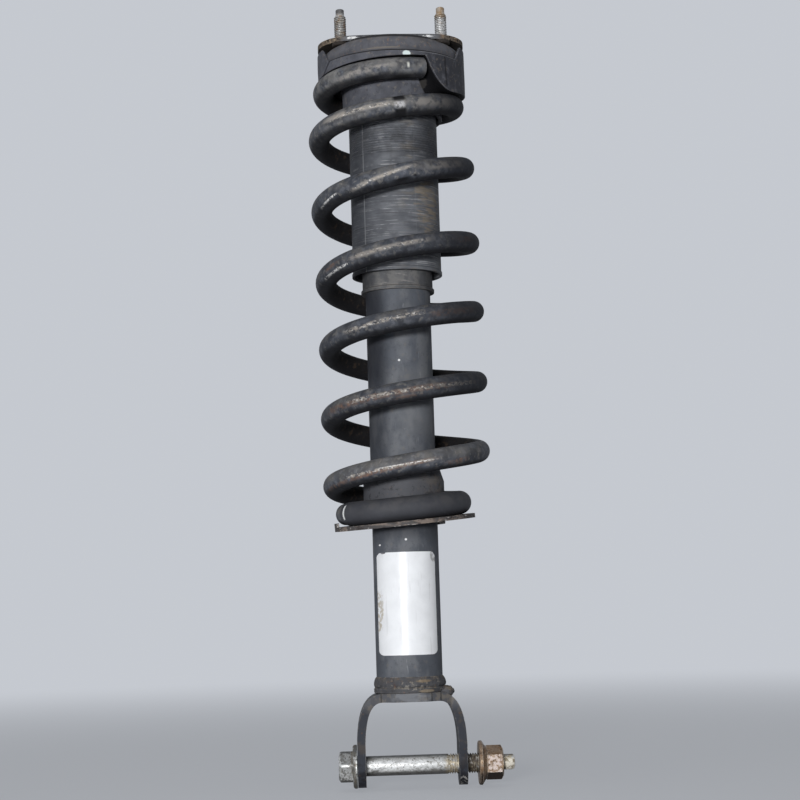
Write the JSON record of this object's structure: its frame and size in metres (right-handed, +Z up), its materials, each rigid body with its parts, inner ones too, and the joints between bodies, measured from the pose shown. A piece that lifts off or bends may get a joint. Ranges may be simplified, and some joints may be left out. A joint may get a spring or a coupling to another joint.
{
  "type": "strut assembly",
  "caption": "Front coil-over strut: a black damper tube inside a coil spring, with a studded top mount, a dust shield, and a welded fork at the bottom that a cross bolt passes through.",
  "frame": {"origin": "centre of the circle of the three tower studs, on the upper mounting face", "axes": "+Z up along the strut's axis, out of the mounting face; +X along the clevis bolt towards its nut; -Y towards the label"},
  "size_m": [0.1543, 0.1387, 0.6427],
  "materials": {
    "black_paint": "satin",
    "mount_steel": "worn satin",
    "weld_steel": "rough",
    "seat_steel": "worn, rusty edge",
    "spring_paint": "worn satin",
    "stud_steel": "rusty thread",
    "bolt_steel": "dull zinc",
    "nut_steel": "stained zinc",
    "plain_steel": "plain",
    "rod_chrome": "polished",
    "sintered_steel": "matte",
    "isolator_rubber": "satin",
    "sleeve_rubber": "satin",
    "seal_rubber": "matte",
    "bumper_foam": "matte",
    "shield_plastic": "scuffed",
    "cap_plastic": "dusty",
    "band_plastic": "smooth",
    "label_film": "gloss"
  },
  "bodies": {
    "upper_mount": {"mount_plate": "mount_steel", "mount_cup": "mount_steel", "tower_studs": "stud_steel", "upper_isolator": "isolator_rubber", "mount_bushing": "seal_rubber", "bushing_sleeve": "plain_steel", "rod_washers": "plain_steel", "rod_nut": "plain_steel", "jounce_bumper": "bumper_foam", "dust_shield": "shield_plastic", "piston_rod": "rod_chrome", "rebound_stop": "band_plastic", "piston": "sintered_steel", "piston_band": "band_plastic", "piston_nut": "plain_steel", "coil_spring": "spring_paint"},
    "damper": {"clevis_fork": "black_paint", "fork_ring": "weld_steel", "fork_weld": "weld_steel", "damper_tube": "black_paint", "blank_label": "label_film", "base_cap": "plain_steel", "base_valve": "sintered_steel", "inner_cylinder": "plain_steel", "rod_guide": "sintered_steel", "oil_seal": "seal_rubber", "striker_cap": "cap_plastic", "lower_spring_seat": "seat_steel", "seat_weld": "weld_steel", "spring_sleeve": "sleeve_rubber"},
    "bolt": {"clevis_bolt": "bolt_steel"},
    "washer": {"nut_washer": "nut_steel"},
    "nut": {"clevis_nut": "nut_steel"}
  },
  "joints": [
    {"name": "damper_stroke", "type": "slide", "parent": "upper_mount", "child": "damper", "axis": [0, 0, 1], "range_m": [0, 0.1045], "stiffness_N_per_m": 90000, "springref_m": -0.035, "deforming": ["coil_spring"]},
    {"name": "bolt_spin", "type": "hinge", "parent": "damper", "child": "bolt", "pos_m": [0, 0, -0.6], "axis": [1, 0, 0], "continuous": true},
    {"name": "nut_travel", "type": "slide", "parent": "bolt", "child": "washer", "axis": [1, 0, 0], "range_m": [-0.0092, 0.012]},
    {"name": "nut_spin", "type": "hinge", "parent": "washer", "child": "nut", "pos_m": [0.07, 0, -0.6], "axis": [1, 0, 0], "range_deg": [-1650, 2155]}
  ],
  "couplings": [
    {"joint": "nut_travel", "follows": "nut_spin", "m_per_rad": 0.00031831}
  ]
}
